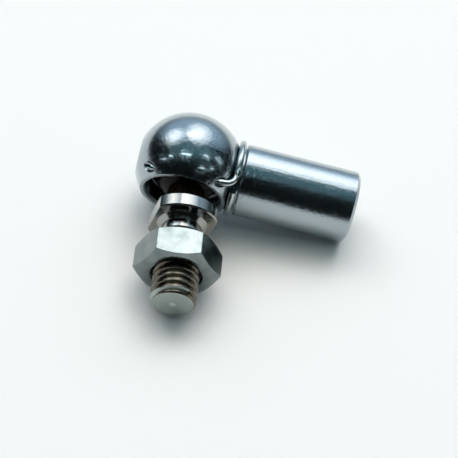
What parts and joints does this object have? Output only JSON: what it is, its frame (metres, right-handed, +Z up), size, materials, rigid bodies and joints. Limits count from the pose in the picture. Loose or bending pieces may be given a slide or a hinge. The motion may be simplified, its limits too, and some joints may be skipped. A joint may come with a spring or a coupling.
{
  "type": "angle ball joint",
  "caption": "Angle ball joint: a threaded ball stud swivels in a round socket head on a tapped shank, held by a snap ring and a wire safety clip, with a hex nut on the stud.",
  "frame": {"origin": "under the middle of the part, on the surface that it lies on", "axes": "+Z up from the surface; +X the plan direction of the shank, from the head to its open end; the stud points to -Y"},
  "size_m": [0.04, 0.0386, 0.0194],
  "materials": {
    "socket_steel": "turned steel, zinc plated and blue passivated",
    "stud_steel": "turned steel, bright zinc plated",
    "spring_wire": "drawn spring steel wire, bright zinc plated",
    "nut_steel": "cold formed steel, zinc plated"
  },
  "bodies": {
    "socket": {"ball_socket": "socket_steel", "safety_clip": "spring_wire"},
    "ring": {"retaining_ring": "spring_wire"},
    "stud": {"ball_stud": "stud_steel"},
    "nut": {"hex_nut": "nut_steel"}
  },
  "joints": [
    {"name": "ring_turn", "type": "hinge", "parent": "socket", "child": "ring", "pos_m": [-0.01052, 0.00964, 0.0097], "axis": [-0.0339, -0.9511, -0.3071], "continuous": true},
    {"name": "stud_swivel", "type": "hinge", "parent": "ring", "child": "stud", "pos_m": [-0.01052, 0.00964, 0.0097], "axis": [-0.8294, -0.1447, 0.5395], "range_deg": [-29.65, 6.35]},
    {"name": "nut_travel", "type": "slide", "parent": "stud", "child": "nut", "axis": [0.0794, -0.9866, -0.1425], "range_m": [-0.00125, 0.0125]}
  ]
}
